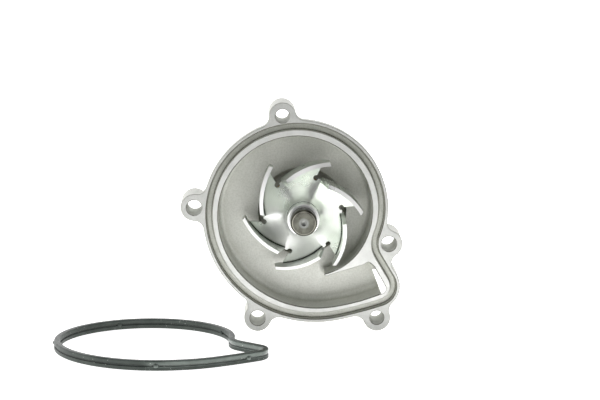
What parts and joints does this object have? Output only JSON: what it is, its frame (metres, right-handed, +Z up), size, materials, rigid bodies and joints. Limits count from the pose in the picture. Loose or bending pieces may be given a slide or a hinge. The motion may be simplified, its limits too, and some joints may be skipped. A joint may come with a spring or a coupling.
{
  "type": "water pump",
  "caption": "Engine coolant pump: die-cast volute housing with bolt bosses and gasket groove, pressed bladed impeller, sealed bearing shaft, drive flange and loose profile gasket.",
  "frame": {"origin": "where the shaft axis crosses the mounting face", "axes": "+Z up, +Y back along the shaft from the mounting face to the drive flange; the mounting face looks along -Y"},
  "size_m": [0.208, 0.2102, 0.1395],
  "materials": {
    "cast_aluminium": "fine die-cast grain with machined lands",
    "zinc_plate": "bright zinc plating on pressed steel",
    "ground_steel": "ground and turned steel",
    "bearing_steel": "polished bearing steel",
    "flange_steel": "turned steel, lightly oiled",
    "gasket_rubber": "satin moulded rubber",
    "black_rubber": "matte moulded rubber",
    "cage_plastic": "glass-filled polyamide",
    "seal_brass": "drawn brass",
    "stainless": "bright stainless strip",
    "carbon": "lapped carbon graphite",
    "seat_ceramic": "lapped ceramic"
  },
  "bodies": {
    "pump_body": {"housing": "cast_aluminium", "bearing_outer_ring": "bearing_steel", "bearing_seal_front": "black_rubber", "bearing_seal_rear": "black_rubber", "seal_case": "seal_brass", "seal_bellows": "black_rubber", "seal_spring": "stainless"},
    "rotor": {"pump_shaft": "ground_steel", "impeller": "zinc_plate", "drive_flange": "flange_steel", "seal_sleeve": "stainless", "seat_cup": "black_rubber", "seal_seat": "seat_ceramic", "water_slinger": "black_rubber"},
    "ball_train": {"bearing_balls": "bearing_steel", "ball_cage": "cage_plastic"},
    "roller_train": {"bearing_rollers": "bearing_steel", "roller_cage": "cage_plastic"},
    "seal_head": {"seal_face": "carbon", "spring_retainer": "stainless"},
    "gasket": {"profile_gasket": "gasket_rubber"}
  },
  "joints": [
    {"name": "rotor_spin", "type": "hinge", "parent": "pump_body", "child": "rotor", "pos_m": [0, 0, 0], "axis": [0, 1, 0], "continuous": true},
    {"name": "ball_train_orbit", "type": "hinge", "parent": "pump_body", "child": "ball_train", "pos_m": [0, 0.0575, 0], "axis": [0, 1, 0], "continuous": true},
    {"name": "roller_train_orbit", "type": "hinge", "parent": "pump_body", "child": "roller_train", "pos_m": [0, 0.075, 0], "axis": [0, 1, 0], "continuous": true},
    {"name": "seal_face_float", "type": "slide", "parent": "pump_body", "child": "seal_head", "axis": [0, 1, 0], "range_m": [0, 0.0008], "stiffness_N_per_m": 1500, "springref_m": -0.002, "deforming": ["seal_spring", "seal_bellows"]},
    {"name": "gasket_lift", "type": "slide", "parent": "pump_body", "child": "gasket", "axis": [0, 0, 1], "range_m": [0, 0.05]}
  ],
  "couplings": [
    {"joint": "ball_train_orbit", "follows": "rotor_spin", "ratio": 0.3528},
    {"joint": "roller_train_orbit", "follows": "rotor_spin", "ratio": 0.3814}
  ]
}
